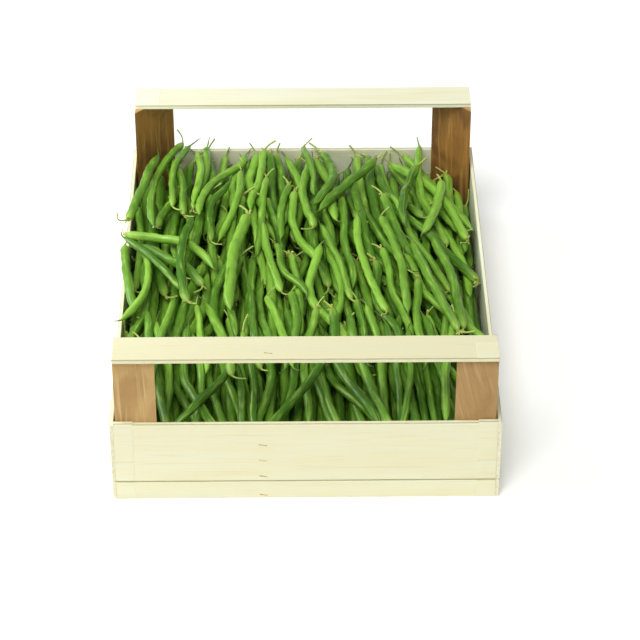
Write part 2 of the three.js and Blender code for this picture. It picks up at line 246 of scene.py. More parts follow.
poplar = new_material("raw_sliced_poplar", {})
tree = poplar.node_tree
read = {}
for name in ("grain", "tone", "end_face", "edge_face"):
    read[name] = add_node(tree, "ShaderNodeAttribute", attribute_name=name).outputs
through_mm = add_node(tree, "ShaderNodeSeparateXYZ", {"Vector": read["grain"]["Vector"]}).outputs["Z"]
patterns = grain_patterns(tree, POPLAR_MM, detail=3, distortion=0.3)
# The tone mixes white into a board's grey. On the back and right walls it holds painted light, and on the
# seam strips painted shade.
layers = [
    (read["tone"]["Fac"], None, POPLAR_WHITE, 1),
    (patterns["figure"], (0.42, 0.75), POPLAR_STRAW, 0.55),
    (patterns["streak"], (0.45, 0.8), POPLAR_STRAW, 0.65),
    (patterns["line"], (0.52, 0.8), POPLAR_LINE, 0.5),
    (patterns["fleck"], (0.72, 0.8), POPLAR_FLECK, 0.35),
    (through_mm, (0.6, 1.2), POPLAR_GLUE, read["edge_face"]["Fac"]),
    (patterns["pore"], (0.3, 0.7), POPLAR_END, read["end_face"]["Fac"]),
]
colour = layered(tree, linear(POPLAR_GREY), layers)
finish_surface(tree, colour, patterns["line"], POPLAR_BUMP, patterns["streak"], POPLAR_ROUGH)
print(poplar.name, "has", len(tree.nodes), "nodes")

# %% [markdown]
# A board is a block cut from a longer one, so Geometry Nodes can cut them all by one rule.
# The tree makes a block of a given size, writes the grain and the kind of each face on it as attributes,
# then bends it a little, because thin raw boards are never quite flat. Each board gets its own seed, so no
# two have the same grain.


# %% Start and end a tree
def new_tree(name, inputs, output):
    """An empty tree of geometry nodes with named inputs and one output, and the sockets of its inputs."""
    tree = bpy.data.node_groups.new(name, "GeometryNodeTree")
    for label, kind in inputs.items():
        tree.interface.new_socket(label, in_out="INPUT", socket_type=f"NodeSocket{kind}")
    tree.interface.new_socket(output, in_out="OUTPUT", socket_type="NodeSocketGeometry")
    return tree, add_node(tree, "NodeGroupInput").outputs


def end_tree(tree, made, material, output):
    """Makes the tree's instances real, paints what it has made and lets it out."""
    real = add_node(tree, "GeometryNodeRealizeInstances", {"Geometry": made})
    painted = add_node(tree, "GeometryNodeSetMaterial", {"Geometry": real, "Material": material})
    add_node(tree, "NodeGroupOutput", {output: painted})
    print(tree.name, "has", len(tree.nodes), "nodes")


# %% A tree that cuts boards
BOARD_INPUTS = {
    "Size": "Vector",
    "Along": "Int",
    "Across": "Int",
    "Bow": "Float",
    "Edge wave": "Float",
    "Seed": "Float",
    "Tone": "Float",
    "Material": "Material",
}
GRAIN_SPREAD = (977, 613, 0)
FACE_LIMIT = 0.7
board_tree, given = new_tree("cut_board", BOARD_INPUTS, "Board")
cells = {"Vertices X": given["Along"], "Vertices Y": given["Across"], "Vertices Z": 2}
block = add_node(board_tree, "GeometryNodeMeshCube", {"Size": given["Size"], **cells})
place = add_node(board_tree, "GeometryNodeInputPosition")
in_mm = add_node(board_tree, VECTOR_MATH, {0: place, "Scale": 1 / MM}, operation="SCALE")
seeds = add_node(board_tree, "ShaderNodeCombineXYZ", {"X": given["Seed"], "Y": given["Seed"]})
shift = add_node(board_tree, VECTOR_MATH, {0: seeds, 1: GRAIN_SPREAD}, operation="MULTIPLY")
grain_place = add_node(board_tree, VECTOR_MATH, {0: in_mm, 1: shift}, operation="ADD")
normal = add_node(board_tree, "GeometryNodeInputNormal")
facing = add_node(board_tree, VECTOR_MATH, {0: normal}, operation="ABSOLUTE")
facing = add_node(board_tree, "ShaderNodeSeparateXYZ", {"Vector": facing}).outputs
on_end = add_node(board_tree, MATH, {0: facing["X"], 1: FACE_LIMIT}, operation="GREATER_THAN")
on_edge = add_node(board_tree, MATH, {0: facing["Y"], 1: FACE_LIMIT}, operation="GREATER_THAN")
stored = [
    ("grain", "FLOAT_VECTOR", "POINT", grain_place),
    ("tone", "FLOAT", "POINT", given["Tone"]),
    ("end_face", "FLOAT", "FACE", on_end),
    ("edge_face", "FLOAT", "FACE", on_edge),
]
for name, data_type, domain, value in stored:
    inputs = {"Geometry": block, "Name": name, "Value": value}
    settings = {"data_type": data_type, "domain": domain}
    block = add_node(board_tree, "GeometryNodeStoreNamedAttribute", inputs, **settings)
print(board_tree.name, "writes", [row[0] for row in stored])

# %% Bend the board
BOW_LENGTH, BOW_ROW = 0.16, 5.0
WAVE_LENGTH = 0.035
at = add_node(board_tree, "ShaderNodeSeparateXYZ", {"Vector": place}).outputs
size = add_node(board_tree, "ShaderNodeSeparateXYZ", {"Vector": given["Size"]}).outputs


def wave_of(length, row, height):
    """A smooth random wave along the board, of a given length and height, different for each row."""
    along = add_node(board_tree, MATH, {0: at["X"], 1: length}, operation="DIVIDE")
    where = add_node(board_tree, "ShaderNodeCombineXYZ", {"X": along, "Y": row, "Z": given["Seed"]})
    noise = add_node(board_tree, "ShaderNodeTexNoise", {"Vector": where, "Scale": 1, "Detail": 1})
    centred = add_node(board_tree, MATH, {0: noise, 1: 0.5}, operation="SUBTRACT")
    return add_node(board_tree, MATH, {0: centred, 1: height}, operation="MULTIPLY")


upper = add_node(board_tree, MATH, {0: at["Y"], 1: 0}, operation="GREATER_THAN")
from_middle = add_node(board_tree, MATH, {0: at["Y"]}, operation="ABSOLUTE")
half_width = add_node(board_tree, MATH, {0: size["Y"], 1: 0.5}, operation="MULTIPLY")
edge_share = add_node(board_tree, MATH, {0: from_middle, 1: half_width}, operation="DIVIDE")
edge_wave = wave_of(WAVE_LENGTH, upper, given["Edge wave"])
edge_wave = add_node(board_tree, MATH, {0: edge_wave, 1: edge_share}, operation="MULTIPLY")
bow = wave_of(BOW_LENGTH, BOW_ROW, given["Bow"])
offset = add_node(board_tree, "ShaderNodeCombineXYZ", {"Y": edge_wave, "Z": bow})
bent = add_node(board_tree, "GeometryNodeSetPosition", {"Geometry": block, "Offset": offset})
end_tree(board_tree, bent, given["Material"], "Board")

# %% [markdown]
# A modifier runs the tree on an object. Its inputs are set by the sockets' identifiers before anything
# asks for the result. The result is then kept as a plain mesh and the modifier goes, because what rides
# on the frame is a plain mesh.

# %% Run a tree, keep its mesh and put it on the frame
EASE_SEGMENTS, EASE_ANGLE = 2, math.radians(40)


def grown(name, tree, base_mesh, sizes):
    """An object whose plain mesh is what the tree makes of the base mesh."""
    piece = bpy.data.objects.new(name, base_mesh)
    scene.collection.objects.link(piece)
    modifier = piece.modifiers.new("grow", "NODES")
    modifier.node_group = tree
    for socket in tree.interface.items_tree:
        if socket.name in sizes:
            modifier[socket.identifier] = sizes[socket.name]
    depsgraph = bpy.context.evaluated_depsgraph_get()
    made = piece.evaluated_get(depsgraph)
    plain = bpy.data.meshes.new_from_object(made, preserve_all_data_layers=True, depsgraph=depsgraph)
    piece.modifiers.remove(modifier)
    piece.data = plain
    return piece


def eased(piece, width):
    """Takes the sharpness off a wooden piece's edges, as handling does."""
    bevel = piece.modifiers.new("eased_edges", "BEVEL")
    bevel.width = width
    bevel.segments = EASE_SEGMENTS
    bevel.limit_method = "ANGLE"
    bevel.angle_limit = EASE_ANGLE


def on_frame(piece, node=None):
    """Lets a finished piece ride on the frame, in the place of the CAD node that it stands for, if any."""
    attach(piece, "root")
    if node:
        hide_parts(node)


# %% [markdown]
# Eight wall boards and two carrying planks. The boards of the front and back stand between the side
# boards, so only their faces and their top edges show.

# %% Cut the wall boards and planks
BOARD_CELL = 3 * MM
EDGE_EASE = 0.45 * MM
BOARD_BOW = 0.4 * MM
EDGE_WAVE = 0.6 * MM
WALL_ROWS = ("foot", "wide")
# The tones of the back and right walls are raised as painted light, for the light on their inner faces.
WALL_TONES_AND_PAINTED_LIGHT = {"front": 0.35, "back": 0.6, "left": 0.5, "right": 0.8}
PLANK_TONES = {"front": 0.15, "back": 0.6}
FACING = {"front": (90, 0, 0), "back": (90, 0, 180), "left": (90, 0, -90), "right": (90, 0, 90)}
FLAT = (0, 0, 0)


def cut_block(name, low, high, turn_deg, seed, tone, edge_wave):
    """A poplar board between two corners, turned so that its outer face looks out of the crate."""
    turn = Euler([math.radians(angle) for angle in turn_deg]).to_matrix().to_4x4()
    length, width, thickness = [abs(side) for side in turn.inverted().to_3x3() @ (high - low)]
    sizes = {
        "Size": (length, width, thickness),
        "Along": max(2, round(length / BOARD_CELL)),
        "Across": max(2, round(width / BOARD_CELL / 2)),
        "Bow": BOARD_BOW,
        "Edge wave": edge_wave,
        "Seed": float(seed),
        "Tone": tone,
        "Material": poplar,
    }
    piece = grown(name, board_tree, bpy.data.meshes.new(name), sizes)
    piece.data.transform(Matrix.Translation((low + high) / 2) @ turn)
    eased(piece, EDGE_EASE)
    return piece


boards = []
for side, turn in FACING.items():
    boards += [(f"{side}_{row}_board", turn, WALL_TONES_AND_PAINTED_LIGHT[side]) for row in WALL_ROWS]
boards += [(f"{side}_plank", FLAT, tone) for side, tone in PLANK_TONES.items()]
for seed, (node, turn, tone) in enumerate(boards):
    board = cut_block(f"{node}_wood", *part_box(node), turn, seed, tone, EDGE_WAVE)
    on_frame(board, node)
print(len(boards), "boards cut")

# %% [markdown]
# Where the end walls are pressed on the corner posts, each has a short lap of the same wood at either end.
# A lap is in three pieces, one above the other. It stands a hair proud of the boards and a little higher.
# Behind the open seam between two boards lies a thin strip, so the seam is a shallow groove and no slit of
# light. A thin offcut is pressed on one end of each plank.

# %% Laps at the ends of the end walls, strips behind the seams, and offcuts
LAP_LENGTH = 15 * MM
LAP_PROUD = 0.25 * MM
LAP_INSIDE = 0.3 * MM
LAP_SEED = 40
LAP_ROWS_MM = [(0.4, 16.2), (18.0, 36.2), (36.6, 73.2)]
STRIP_DEPTH = 0.7 * MM
STRIP_OVERLAP = 0.2 * MM
# The seam strips are greyer than the boards: painted shade in the groove.
STRIP_TONE_WITH_PAINTED_SHADE = 0.2
OFFCUTS = [("front", "right", 17 * MM, 20 * MM, 0.35), ("back", "left", 21 * MM, 29 * MM, 0.75)]
OFFCUT_INSIDE = 0.3 * MM
OFFCUT_THICKNESS = 0.45 * MM
extras = []
for side, outward in (("front", -1), ("back", 1)):
    low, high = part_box(f"{side}_wide_board")
    outer, inner = (low.y, high.y) if outward < 0 else (high.y, low.y)
    near_y, far_y = sorted((outer + outward * LAP_PROUD, inner + outward * LAP_INSIDE))
    for end_x in (low.x, high.x - LAP_LENGTH):
        for bottom, top in LAP_ROWS_MM:
            corners = Vector((end_x, near_y, bottom * MM)), Vector((end_x + LAP_LENGTH, far_y, top * MM))
            extras.append((f"end_lap_{len(extras) + 1}", corners, FACING[side], WALL_TONES_AND_PAINTED_LIGHT[side]))
for side, turn in FACING.items():
    below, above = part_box(f"{side}_foot_board"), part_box(f"{side}_wide_board")
    across = 1 if side in ("front", "back") else 0
    low, high = above[0].copy(), above[1].copy()
    low[across] += STRIP_DEPTH
    high[across] -= STRIP_DEPTH
    low.z, high.z = below[1].z - STRIP_OVERLAP, above[0].z + STRIP_OVERLAP
    extras.append((f"{side}_seam_strip", (low, high), turn, STRIP_TONE_WITH_PAINTED_SHADE))
for side, at_end, length, depth, tone in OFFCUTS:
    low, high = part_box(f"{side}_plank")
    corner = Vector((low.x if at_end == "left" else high.x - length, low.y, high.z - OFFCUT_INSIDE))
    far_corner = corner + Vector((length, depth, OFFCUT_THICKNESS))
    extras.append((f"{side}_offcut", (corner, far_corner), FLAT, tone))
for seed, (name, corners, turn, tone) in enumerate(extras, LAP_SEED):
    on_frame(cut_block(name, *corners, turn, seed, tone, 0))
print(len(extras), "laps, strips and offcuts")

# %% [markdown]
# The corner posts are triangular strips of a browner softwood, sawn and left rough, with the grain
# upright. Their outer faces are tan. The long face that looks into the crate is a darker, redder brown.
# Streaks a few millimetres wide run up the post, with finer lines between them. Some posts are darker as
# a whole.

# %% Brown softwood
POST_TAN = "bf9c62"
POST_PALE = "d6b880"
POST_DARK = "9a7440"
POST_SHADE = "7c5228"
INNER_BROWN = "a0702e"
INNER_PALE = "cc9a4e"
INNER_DARK = "563416"
INNER_SHADE = "3c220e"
POST_MM = {"streak": (60, 3.2, 3.2), "line": (40, 0.9, 0.9), "cloud": (30, 18, 18)}
POST_BUMP = (0.4, 0.5 * MM)
POST_ROUGH = (0.6, 0.8)
OUTER_FINISH = (POST_TAN, POST_PALE, POST_DARK, POST_SHADE)
INNER_FINISH = (INNER_BROWN, INNER_PALE, INNER_DARK, INNER_SHADE)

softwood = new_material("rough_sawn_brown_softwood", {})
tree = softwood.node_tree
inner_face = add_node(tree, "ShaderNodeAttribute", attribute_name="inner_face").outputs["Fac"]
shade = add_node(tree, "ShaderNodeAttribute", attribute_name="tone").outputs["Fac"]
patterns = grain_patterns(tree, POST_MM, detail=4, distortion=0.5)
inputs = {MIX_FACTOR: inner_face}
for side, (middle, pale, dark, shaded) in {MIX_A: OUTER_FINISH, MIX_B: INNER_FINISH}.items():
    layers = [
        (patterns["cloud"], (0.4, 0.7), dark, 0.6),
        (patterns["streak"], (0.5, 0.75), pale, 0.7),
        (patterns["line"], (0.52, 0.75), dark, 0.6),
        (shade, None, shaded, 1),
    ]
    inputs[side] = layered(tree, linear(middle), layers)
colour = add_node(tree, "ShaderNodeMix", inputs, data_type="RGBA")
finish_surface(tree, colour, patterns["line"], POST_BUMP, patterns["streak"], POST_ROUGH)
print(softwood.name, "has", len(tree.nodes), "nodes")

# %% [markdown]
# A post, a slat and a batten already have the right shape in the CAD model. A copy of the node's mesh is
# merged and its flat faces joined, so that the edges can be eased, and the grain is written on it along
# its length.

# %% Copy posts, slats and battens
AXES = {"x": (0, 1, 2), "y": (1, 0, 2), "z": (2, 0, 1)}
MERGE = 1e-6
FLAT_ANGLE = math.radians(1)
GRAIN_STEP = 311
SLANT_LIMIT = 0.5
POSTS = {
    "front_left": (0, 0.03),
    "front_right": (0.32, 0.22),
    "back_left": (0, -0.02),
    "back_right": (0.12, 0.03),
}
SLATS, BATTENS = 5, 3


def write_on(mesh, name, values, domain="POINT"):
    """Writes an attribute on a mesh: a number or a vector for each of its points or faces."""
    values = np.array(values, dtype=float)
    kind, field = ("FLOAT_VECTOR", "vector") if values.ndim > 1 else ("FLOAT", "value")
    mesh.attributes.new(name, kind, domain).data.foreach_set(field, values.ravel())


def eased_copy(node, along, material, slot, seed, tone=0, slope=0):
    """A copy of a CAD node with eased edges, and its grain along one axis or at a slope to it."""
    mesh = bpy.data.meshes.new(f"{node}_wood")
    shape = bmesh.new()
    shape.from_mesh(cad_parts[node].data)
    bmesh.ops.remove_doubles(shape, verts=shape.verts, dist=MERGE)
    bmesh.ops.dissolve_limit(shape, angle_limit=FLAT_ANGLE, verts=shape.verts, edges=shape.edges)
    shape.to_mesh(mesh)
    shape.free()
    mesh.materials.clear()
    mesh.materials.append(material)
    for face in mesh.polygons:
        face.use_smooth = False
        face.material_index = 0
    places = np.array([vertex.co for vertex in mesh.vertices])[:, AXES[along]] / MM + seed * GRAIN_STEP
    places[:, 1] += slope * places[:, 0]
    normals = np.abs([face.normal for face in mesh.polygons])
    write_on(mesh, "grain", places)
    write_on(mesh, "tone", np.full(len(places), tone))
    write_on(mesh, "inner_face", normals[:, :2].min(axis=1) > SLANT_LIMIT, "FACE")
    write_on(mesh, "end_face", normals[:, AXES[along][0]] > FACE_LIMIT, "FACE")
    piece = bpy.data.objects.new(f"{node}_wood", mesh)
    scene.collection.objects.link(piece)
    eased(piece, EDGE_EASE)
    on_frame(piece, node)


copies = [(f"{corner}_post", "z", softwood, "post_wood", *looks) for corner, looks in POSTS.items()]
copies += [(f"slat_{i + 1}", "y", poplar, "slat_wood") for i in range(SLATS)]
copies += [(f"batten_{i + 1}", "x", poplar, "slat_wood") for i in range(BATTENS)]
for seed, (node, along, material, slot, *looks) in enumerate(copies):
    eased_copy(node, along, material, slot, seed, *looks)
print(len(copies), "pieces copied from their nodes")

# %% [markdown]
# Wire staples hold the boards, driven from outside until the crown is nearly flush. The wire has a thin
# zinc coat, dulled to a tan that hardly stands out from the wood. The crowns are alike, so a tree sets
# one block on each of a few points and turns it by that point's own angles. Later, the same tree sets
# smaller chips.

# %% A tree that sets blocks
BLOCK_INPUTS = {"Places": "Geometry", "Block": "Vector", "Material": "Material"}
block_tree, given = new_tree("set_blocks", BLOCK_INPUTS, "Blocks")
block = add_node(block_tree, "GeometryNodeMeshCube", {"Size": given["Block"]})
angles = add_node(block_tree, "GeometryNodeInputNamedAttribute", {"Name": "turn"}, data_type="FLOAT_VECTOR")
turn = add_node(block_tree, "FunctionNodeEulerToRotation", {"Euler": angles})
inputs = {"Points": given["Places"], "Instance": block, "Rotation": turn}
blocks = add_node(block_tree, "GeometryNodeInstanceOnPoints", inputs)
end_tree(block_tree, blocks, given["Material"], "Blocks")


def set_blocks(name, places, turns, size_mm, material):
    """One piece made of like blocks, each at its own place and turned by its own angles."""
    points = bpy.data.meshes.new(name)
    points.from_pydata(places, [], [])
    write_on(points, "turn", turns)
    piece = grown(name, block_tree, points, {"Block": Vector(size_mm) * MM, "Material": material})
    on_frame(piece)
    print(name, "is made of", len(places), "blocks")


# %% Staples
WIRE_TAN = "dcca96"
WIRE_DULL = "c0a672"
WIRE_METALLIC, WIRE_ROUGH = 0.1, 0.5
DULL_MM = 4
CROWN_MM = (6.5, 1.0, 0.36)
CROWN_SLANT_DEG = 10
STAPLE_X, STAPLE_HEIGHTS = -33, (52, 37, 21.5, 3)
PLANK_STAPLE = (-28, -192.7)


def soft_spots(tree, size_mm):
    """Noise in spots of a given size, fixed to the piece's own coordinates."""
    own_place = add_node(tree, "ShaderNodeTexCoord").outputs["Object"]
    inputs = {"Vector": own_place, "Scale": 1 / (size_mm * MM), "Detail": 2}
    return add_node(tree, "ShaderNodeTexNoise", inputs)


def spotted_material(name, hex_code, spot_code, spot_mm, limits, fixed):
    """A material of one colour with soft spots of another."""
    material = new_material(name, fixed)
    tree = material.node_tree
    colour = layered(tree, linear(hex_code), [(soft_spots(tree, spot_mm), limits, spot_code, 1)])
    fill_inputs(tree, tree.nodes["Principled BSDF"], {"Base Color": colour})
    return material


fixed = {"Metallic": WIRE_METALLIC, "Roughness": WIRE_ROUGH}
wire = spotted_material("dull_zinc_coated_wire", WIRE_TAN, WIRE_DULL, DULL_MM, (0.4, 0.6), fixed)
front_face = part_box("front_wide_board")[0].y
plank_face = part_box("front_plank")[1].z
slant = math.radians(CROWN_SLANT_DEG)
places = [(STAPLE_X * MM, front_face, height * MM) for height in STAPLE_HEIGHTS]
places.append((PLANK_STAPLE[0] * MM, PLANK_STAPLE[1] * MM, plank_face))
turns = [(math.radians(90), slant, 0)] * len(STAPLE_HEIGHTS) + [(0, 0, -slant)]
set_blocks("staples", places, turns, CROWN_MM, wire)

# %% [markdown]
# The heap is the main piece, and the way its beans lie follows a rule. Pods fall in four rows across the
# crate, spread along each row by a golden-ratio step. Each one rolls to the lowest place near where it
# falls, and sags a little on what is under it. Last come the few pods that the eye picks out, each with
# its two ends given. The CAD heap was made by this rule with this seed, so every visible pod lies in the
# solid pod it stands for.

# %% Sizes of the heap, in millimetres
WIDTH, LENGTH, WALL_TOP = 300, 400, 72
INNER_X, INNER_Y, POST_LINE, SLAT_TOP = 147, 196, 309.5, 12
BEAN_COUNT = 148
POD_LENGTH = (116, 146)
POD_RADIUS = (3.9, 4.7)
FRONT_LEAN = (0.34, 0)
BACK_LEAN = (-0.12, 0.32)
FRONT_ROW_END = (-150, -60)
LEAN_SWING, BEND_SWING, SWAY_SWING, PICKED_SWAY = 0.3, 0.75, 0.36, 0.14
ROW_CENTRES = (131, 50, -34, -128)
ROW_SWING, ROW_LENGTH = 18, 284
GOLDEN_STEP = 0.61803399
STATIONS = 25
HEAP_SEED = 24760
PROFILE_PLACES = (0, 0.06, 0.5, 0.92, 1)
PROFILE_SHARES = (0, 0.86, 1, 0.78, 0)
BED_EDGE, BED_CROWN, BED_TILT, BED_RISE = 51, 4, -1.5, 20
BED_DROP, DROP_START = 16, -115
WALL_CLEARANCE, OVERHANG, RIM_CLEARANCE, RIM_REACH = 1.2, 4, 2.5, 1
CELL, COVER_STEPS = 1.5, 4
STEEPEST, SAG, SINK = 0.3, 0.3, 0.8
SIDE_TRIES = (0, -3, 3, -6, 6, -9, 9)
TURN_TRIES = (0, -0.08, 0.08)
FLANK, SMOOTHINGS, PUSH_ROUNDS, BALANCE_ROUNDS = 0.7, 8, 3, 30

# %% Pods that the eye picks out: two ends in plan, and how far the middle bows
PICKED_PODS = [
    ((-110, -190), (-58, -108), 8),
    ((-40, -190), (18, -110), 5),
    ((-56, -144), (-80, -36), 2),
    ((-130, 54), (-106, 197), -11),
    ((-148, 58), (-126, 176), 0),
    ((-88, 64), (-48, 166), -13),
    ((12, 78), (18, 190), 10),
    ((12, 74), (66, 158), 0),
    ((88, 44), (104, 150), -10),
    ((96, 46), (116, 134), 6),
    ((68, -74), (46, 80), -7),
    ((84, -72), (64, 76), 5),
    ((126, -98), (92, 42), -5),
    ((132, -90), (112, 50), 0),
    ((-140, -56), (-152, 34), 0),
    ((-148, -76), (-138, 40), 14),
    ((-80, -28), (-138, 40), 4),
    ((-70, -6), (-152, 54), 16),
    ((-96, -22), (-152, 40), 0),
    ((-92, -60), (-90, 68), -11),
    ((-58, -66), (-42, 72), -9, 5.7),
]

# %% Draw each pod's own sizes
MULTIPLIER, INCREMENT, MODULUS = 1664525, 1013904223, 2**32


def dice(seed):
    """Repeatable random numbers from 0 to 1."""
    state = seed
    while True:
        state = (state * MULTIPLIER + INCREMENT) % MODULUS
        yield state / MODULUS


def between(rolls, limits):
    return limits[0] + (limits[1] - limits[0]) * next(rolls)


def swing(rolls, most):
    return most * (next(rolls) + next(rolls) - 1)


def mixed(pair, share):
    return pair[0] + (pair[1] - pair[0]) * share


def lean_at(x, y):
    """The angle by which pods here lean to the left as they run back."""
    across = (x / INNER_X + 1) / 2
    share = np.clip((y - FRONT_ROW_END[0]) / (FRONT_ROW_END[1] - FRONT_ROW_END[0]), 0, 1)
    return mixed((mixed(FRONT_LEAN, across), mixed(BACK_LEAN, across)), share * share * (3 - 2 * share))


def fallen_pod(rolls, i):
    """One of the many: its place comes from its number, and the rest by chance."""
    x = ((0.5 + i * GOLDEN_STEP) % 1 - 0.5) * ROW_LENGTH
    y = ROW_CENTRES[i % len(ROW_CENTRES)] + swing(rolls, ROW_SWING)
    pod = {"x": x, "y": y, "lean": lean_at(x, y) + swing(rolls, LEAN_SWING)}
    pod["length"] = between(rolls, POD_LENGTH)
    pod["radius"] = between(rolls, POD_RADIUS)
    pod["bend"] = swing(rolls, BEND_SWING)
    pod["sway"] = swing(rolls, SWAY_SWING)
    pod["flip"] = next(rolls) < 0.5
    pod["picked"] = False
    return pod


def picked_pod(rolls, start, end, bow, radius=None):
    """One that the eye picks out: a shallow arc between two ends, as long and bent as its bow makes it."""
    run = (end[0] - start[0], end[1] - start[1])
    chord = math.hypot(*run)
    pod = {"radius": radius or between(rolls, POD_RADIUS), "length": chord + 8 * bow**2 / (3 * chord)}
    pod["x"] = (start[0] + end[0]) / 2 + bow * run[1] / chord
    pod["y"] = (start[1] + end[1]) / 2 - bow * run[0] / chord
    pod["lean"] = math.atan2(-run[0], run[1])
    pod["bend"] = 8 * bow / chord
    pod["sway"] = swing(rolls, PICKED_SWAY)
    pod["flip"] = next(rolls) < 0.5
    pod["picked"] = True
    return pod


rolls = dice(HEAP_SEED)
pods = [fallen_pod(rolls, i) for i in range(BEAN_COUNT)]
picked = [picked_pod(rolls, *row) for row in PICKED_PODS]
for pick in picked:
    away = [math.hypot(pod["x"] - pick["x"], pod["y"] - pick["y"]) for pod in pods]
    pods.pop(away.index(min(away)))
pods += picked
print(len(pods), "pods,", len(picked), "of them picked out")

# %% A pod's line in plan, inside the walls and clear of the posts
SHARES = np.linspace(0, 1, STATIONS)


def radius_along(pod, shares):
    places = 1 - shares if pod["flip"] else shares
    return pod["radius"] * np.interp(places, PROFILE_PLACES, PROFILE_SHARES)


def pushed_inside(x, y, radius, picked):
    """Moves the whole line until no station is in a wall or a post."""
    side_limit = WIDTH / 2 + OVERHANG if picked else INNER_X
    end_limit = LENGTH / 2 if picked else INNER_Y
    move_x, move_y = 0.0, 0.0
    for _ in range(PUSH_ROUNDS):
        for station_x, station_y, station_radius in zip(x.tolist(), y.tolist(), radius.tolist()):
            keep = station_radius + WALL_CLEARANCE
            here_x, here_y = station_x + move_x, station_y + move_y
            move_x -= math.copysign(max(0, abs(here_x) + keep - side_limit), here_x)
            move_y -= math.copysign(max(0, abs(here_y) + keep - end_limit), here_y)
            here_x, here_y = station_x + move_x, station_y + move_y
            back = max(0, abs(here_x) + abs(here_y) + keep * math.sqrt(2) - POST_LINE) / 2
            move_x -= math.copysign(back, here_x)
            move_y -= math.copysign(back, here_y)
    return x + move_x, y + move_y


def plan_of(pod, aside, turn):
    """The line as it curves in plan, through the place where the pod falls."""
    heading = pod["lean"] + turn + pod["bend"] * (SHARES - 0.5) + pod["sway"] * np.sin(2 * np.pi * SHARES)
    step = pod["length"] / (STATIONS - 1)
    x = np.append(0, np.cumsum(-step * np.sin(heading))[:-1])
    y = np.append(0, np.cumsum(step * np.cos(heading))[:-1])
    middle = (STATIONS - 1) // 2
    x += pod["x"] + aside - x[middle]
    y += pod["y"] - y[middle]
    return pushed_inside(x, y, radius_along(pod, SHARES), pod["picked"])


# %% The heap so far, as heights on a square grid
COLUMNS, ROWS = math.ceil(WIDTH / CELL), math.ceil(LENGTH / CELL)


def bed_height(x, y):
    """Top of the beans that lie under the ones that show."""
    across, along = x / INNER_X, y / INNER_Y
    crown = BED_CROWN * (1 - across**2) * (1 - along**2)
    back_left = BED_RISE * np.maximum(0, along) * (1 - across) / 2
    front = BED_DROP * np.maximum(0, (DROP_START - y) / (DROP_START + INNER_Y))
    return BED_EDGE + crown + back_left - front - BED_TILT * across


def cell_at(x, y):
    """The row and column of the grid that a place is in."""
    column = np.clip(np.floor((x + WIDTH / 2) / CELL).astype(int), 0, COLUMNS - 1)
    row = np.clip(np.floor((y + LENGTH / 2) / CELL).astype(int), 0, ROWS - 1)
    return row, column


column_x = (np.arange(COLUMNS) + 0.5) * CELL - WIDTH / 2
row_y = (np.arange(ROWS) + 0.5) * CELL - LENGTH / 2
cell_x, cell_y = np.meshgrid(column_x, row_y)
on_rim = (np.abs(cell_x) > INNER_X) | (np.abs(cell_y) > INNER_Y)
heap = np.where(on_rim, WALL_TOP + RIM_CLEARANCE, bed_height(cell_x, cell_y))
print("bed of beans from", round(heap[~on_rim].min()), "to", round(heap[~on_rim].max()), "mm high")


# %% Let a pod come to rest
def rest_heights(x, y, pod):
    """The lowest straight line that clears the heap and balances on it, sagging towards what is below."""
    radius = radius_along(pod, SHARES)
    ahead_x, ahead_y = np.append(x[1:], x[-1]), np.append(y[1:], y[-1])
    behind_x, behind_y = np.append(x[0], x[:-1]), np.append(y[0], y[:-1])
    run = np.hypot(ahead_x - behind_x, ahead_y - behind_y)
    flank_x = FLANK * radius * (ahead_y - behind_y) / run
    flank_y = -FLANK * radius * (ahead_x - behind_x) / run
    flanks = np.maximum(heap[cell_at(x + flank_x, y + flank_y)], heap[cell_at(x - flank_x, y - flank_y)])
    reach = radius + RIM_REACH
    over_rim = (np.abs(x) + reach > INNER_X) | (np.abs(y) + reach > INNER_Y)
    rim = np.where(over_rim, WALL_TOP + radius + RIM_CLEARANCE, 0)
    support = np.maximum(heap[cell_at(x, y)] + radius, flanks + radius * math.sqrt(1 - FLANK**2))
    support = np.maximum(support, rim)
    along = pod["length"] * (SHARES - 0.5)
    low, high = -STEEPEST, STEEPEST
    for _ in range(BALANCE_ROUNDS):
        third = (high - low) / 3
        if (support - (low + third) * along).max() < (support - (high - third) * along).max():
            high -= third
        else:
            low += third
    tilt = (low + high) / 2
    line = (support - tilt * along).max() + tilt * along
    heights = line - SAG * (line - support)
    for _ in range(SMOOTHINGS):
        before, after = np.append(heights[0], heights[:-1]), np.append(heights[1:], heights[-1])
        heights = (before + 2 * heights + after) / 4
    return np.maximum(heights + (support - heights).max() - SINK, rim)


# %% Find the lowest place for each pod, and raise the heap there
TINY = 1e-9


def settled(pod):
    """The lowest of the places near where a pod falls. A picked pod stays where it is put."""
    best = None
    for aside in (0,) if pod["picked"] else SIDE_TRIES:
        for turn in (0,) if pod["picked"] else TURN_TRIES:
            x, y = plan_of(pod, aside, turn)
            z = rest_heights(x, y, pod)
            if best is None or z.sum() < best[:, 2].sum():
                best = np.stack([x, y, z], axis=1)
    return best


def cover_heap(line, pod):
    """Raises the heap where a pod now lies."""
    steps = (STATIONS - 1) * COVER_STEPS
    places = np.arange(steps) / steps
    for place, radius in zip(places, radius_along(pod, places)):
        x, y, z = [np.interp(place, SHARES, line[:, axis]) for axis in range(3)]
        reach = np.arange(-radius, radius + TINY, CELL / 2)
        dx, dy = np.meshgrid(reach, reach)
        rise = radius**2 - dx**2 - dy**2
        inside = rise > 0
        cells = cell_at(x + dx[inside], y + dy[inside])
        np.maximum.at(heap, cells, z + np.sqrt(rise[inside]))


pod_lines = []
for pod in pods:
    if pod is picked[0]:
        heap_under_picked = heap.copy()
    line = settled(pod)
    cover_heap(line, pod)
    pod_lines.append(line[::-1] if pod["flip"] else line)
print("highest pod line at", round(max(line[:, 2].max() for line in pod_lines), 1), "mm")

# %% [markdown]
# A bean is more than its pod: a thin stalk is left at one end, bent where the bean was picked, and the
# other end runs out in a fine curled tail. Both are short runs of points added to the pod's line, turned
# upwards and kept off the walls.

